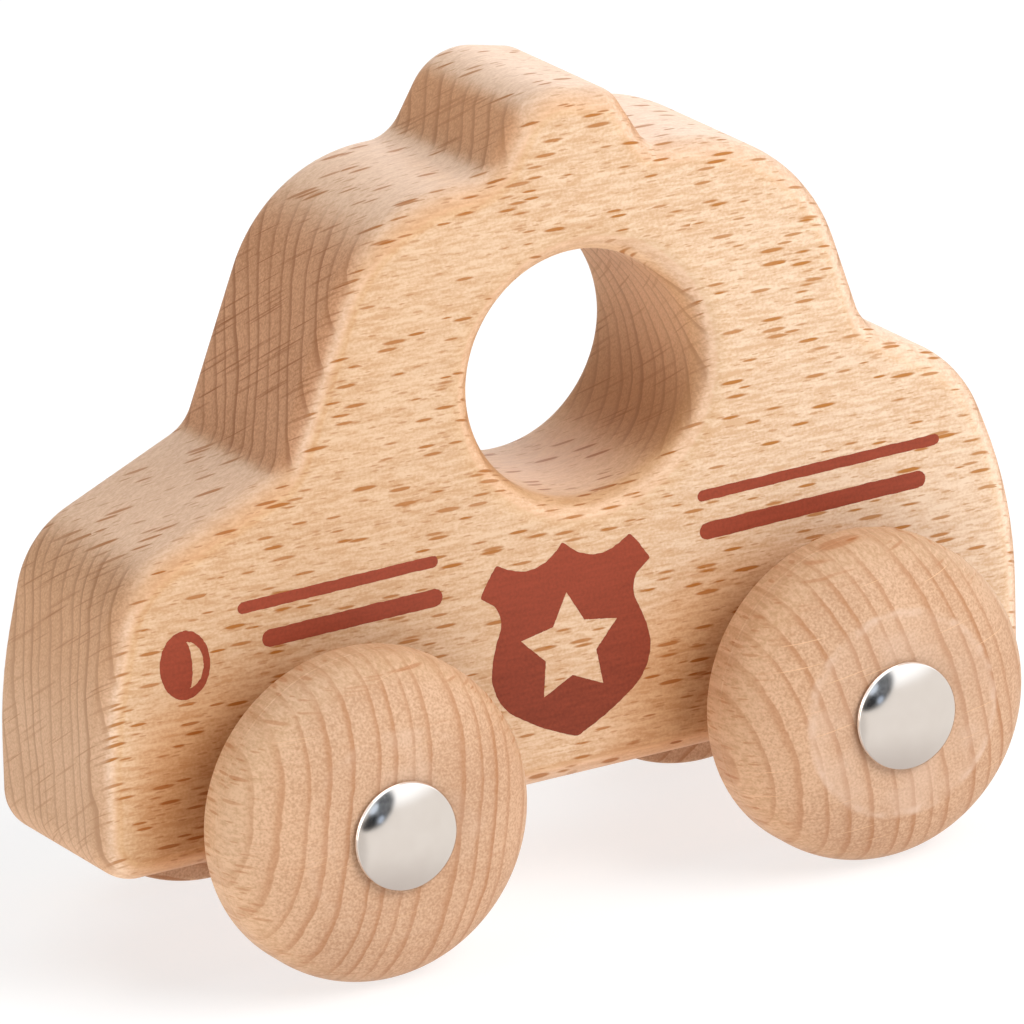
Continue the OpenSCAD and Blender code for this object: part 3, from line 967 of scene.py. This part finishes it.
world = bpy.data.worlds.new("studio")
scene.world = world
world.use_nodes = True
tree = world.node_tree
seen, mirrored = light_path(tree)
towards = Wire.node(tree, "ShaderNodeTexCoord", output="Generated")
rise = split(towards)[2]
room = rise.step(-1.0, -0.4).mix(rgb(0.6, 0.55, 0.525), rgb(0.85, 0.815, 0.785))
room = rise.step(0.14, 0.36).mix(room, rgb(1.25, 1.29, 1.33))
room = (0.55 * patch(towards, (-150, 5), (-150, 60), 30, 50)).mix(room, rgb(0.2, 0.17, 0.15))
room = (0.35 * patch(towards, (-34, -14), (-34, 40), 34, 16)).mix(room, rgb(0.3, 0.26, 0.24))
mottle = noise(stretched(towards, (22, 22, 22)), 2.0).step(-0.12, 0.16)
mottle = mottle.mix(rgb(0.03, 0.034, 0.04), rgb(0.24, 0.26, 0.29))
room = patch(towards, (-2, 13), (20, 32), 20, 9.5).mix(room, mottle)
room = patch(towards, (-14, 3), (-2, 13), 9, 5.5).mix(room, rgb(0.01, 0.012, 0.015))
room = patch(towards, (-8, 15), (4, 25), 6, 2.6).mix(room, rgb(0.75, 0.88, 1.05))
room = patch(towards, (-3, 5), (5, 14), 4, 2.2).mix(room, rgb(0.5, 0.62, 0.8))
backdrop = seen.mix(mirrored.mix(rgb(0.14, 0.14, 0.14), room), rgb(1, 1, 1))
connect(tree.nodes["Background"], Color=backdrop, Strength=1.0)
print("surroundings", world.name)

# %% [markdown]
# Four broad lamps do the rest. Small lamps would draw hard shadows. With square area lamps the size
# sets how soft a shadow is: the larger the lamp, the wider the half shadow beside each wheel. The key
# light is hidden from mirrored rays, so that the domes don't show a bright square.

# %% Lamps
def softbox(name, towards, distance, size, power):
    """A square area lamp that faces the car from a direction."""
    lamp = bpy.data.lights.new(name, "AREA")
    lamp.size = size
    lamp.energy = power
    placed = bpy.data.objects.new(name, lamp)
    scene.collection.objects.link(placed)
    facing = unit(np.array(towards, dtype=float))
    side = unit(np.cross([0, 1, 0], facing))
    spot = np.eye(4)
    spot[:3, :] = np.stack([side, np.cross(facing, side), facing, facing * distance + view_target], axis=1)
    placed.matrix_world = Matrix(spot.tolist())
    placed.visible_camera = False
    return placed


key_light = softbox("key_light", (0.55, -0.75, 0.75), 1.6, 1.2, 24.5)
key_light.visible_glossy = False
lamps = [
    key_light,
    softbox("top_light", (-0.1, 0.2, 1), 1.5, 1.4, 6.7),
    softbox("front_fill", (-0.95, -0.25, 0.2), 1.5, 1.0, 3.6),
    softbox("back_light", (0.45, 0.85, 0.4), 1.5, 1.0, 4.3),
]
print("lamps", [lamp.name for lamp in lamps])
